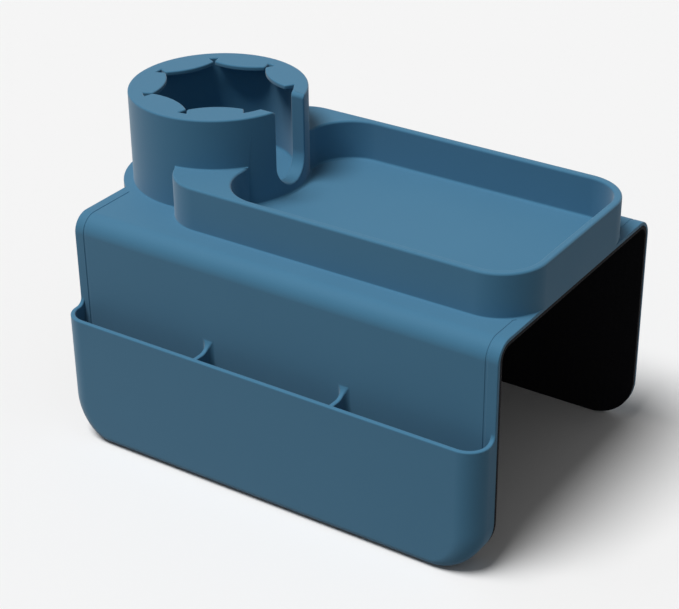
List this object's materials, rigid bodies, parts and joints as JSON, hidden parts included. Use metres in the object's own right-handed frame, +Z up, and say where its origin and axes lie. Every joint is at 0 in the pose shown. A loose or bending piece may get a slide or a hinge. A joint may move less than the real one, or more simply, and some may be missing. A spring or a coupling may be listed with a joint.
{
  "type": "sofa arm tray",
  "caption": "Soft saddle that drapes over a sofa arm, with a slotted cup holder with grip tabs, an open tray and a hanging divided pocket.",
  "frame": {"origin": "centre of the saddle's underside, where it rests on the arm", "axes": "+X along the sofa arm, away from the cup holder; the pocket hangs at -Y; +Z up"},
  "size_m": [0.3254, 0.2105, 0.2095],
  "materials": {
    "silicone": "matte moulded silicone",
    "grip_lining": "matte black grip rubber"
  },
  "bodies": {
    "saddle": {"top_panel": "silicone", "top_lining": "grip_lining", "tray_wall": "silicone", "front_shelf": "silicone", "back_shelf": "silicone", "tray_floor": "silicone", "cup_wall": "silicone", "cup_floor": "silicone", "cup_rim": "silicone", "front_fold_skin": "silicone", "front_fold_lining": "grip_lining", "back_fold_skin": "silicone", "back_fold_lining": "grip_lining"},
    "front_flap": {"front_panel": "silicone", "front_lining": "grip_lining", "pocket_shell": "silicone", "pocket_divider_left": "silicone", "pocket_divider_right": "silicone"},
    "back_flap": {"back_panel": "silicone", "back_lining": "grip_lining"},
    "grip_1": {"grip_tab_1": "silicone"},
    "grip_2": {"grip_tab_2": "silicone"},
    "grip_3": {"grip_tab_3": "silicone"},
    "grip_4": {"grip_tab_4": "silicone"},
    "grip_5": {"grip_tab_5": "silicone"},
    "grip_6": {"grip_tab_6": "silicone"}
  },
  "joints": [
    {"name": "front_flap_fold", "type": "hinge", "parent": "saddle", "child": "front_flap", "pos_m": [0, -0.09115, 0.00015], "axis": [-1, 0, 0], "range_deg": [0, 90], "deforming": ["front_fold_skin", "front_fold_lining"]},
    {"name": "back_flap_fold", "type": "hinge", "parent": "saddle", "child": "back_flap", "pos_m": [0, 0.09115, 0.00015], "axis": [1, 0, 0], "range_deg": [0, 90], "deforming": ["back_fold_skin", "back_fold_lining"]},
    {"name": "grip_tab_1_bend", "type": "hinge", "parent": "saddle", "child": "grip_1", "pos_m": [-0.08569, 0.0417, 0.0627], "axis": [0.8274, -0.5616, 0], "range_deg": [0, 65], "stiffness_Nm_per_rad": 0.04},
    {"name": "grip_tab_2_bend", "type": "hinge", "parent": "saddle", "child": "grip_2", "pos_m": [-0.12245, 0.04774, 0.0627], "axis": [0.9636, 0.2672, 0], "range_deg": [0, 65], "stiffness_Nm_per_rad": 0.04},
    {"name": "grip_tab_3_bend", "type": "hinge", "parent": "saddle", "child": "grip_3", "pos_m": [-0.15085, 0.02363, 0.0627], "axis": [0.42, 0.9075, 0], "range_deg": [0, 65], "stiffness_Nm_per_rad": 0.04},
    {"name": "grip_tab_4_bend", "type": "hinge", "parent": "saddle", "child": "grip_4", "pos_m": [-0.15085, -0.01363, 0.0627], "axis": [-0.42, 0.9075, 0], "range_deg": [0, 65], "stiffness_Nm_per_rad": 0.04},
    {"name": "grip_tab_5_bend", "type": "hinge", "parent": "saddle", "child": "grip_5", "pos_m": [-0.12245, -0.03774, 0.0627], "axis": [-0.9636, 0.2672, 0], "range_deg": [0, 65], "stiffness_Nm_per_rad": 0.04},
    {"name": "grip_tab_6_bend", "type": "hinge", "parent": "saddle", "child": "grip_6", "pos_m": [-0.08569, -0.0317, 0.0627], "axis": [-0.8274, -0.5616, 0], "range_deg": [0, 65], "stiffness_Nm_per_rad": 0.04}
  ]
}
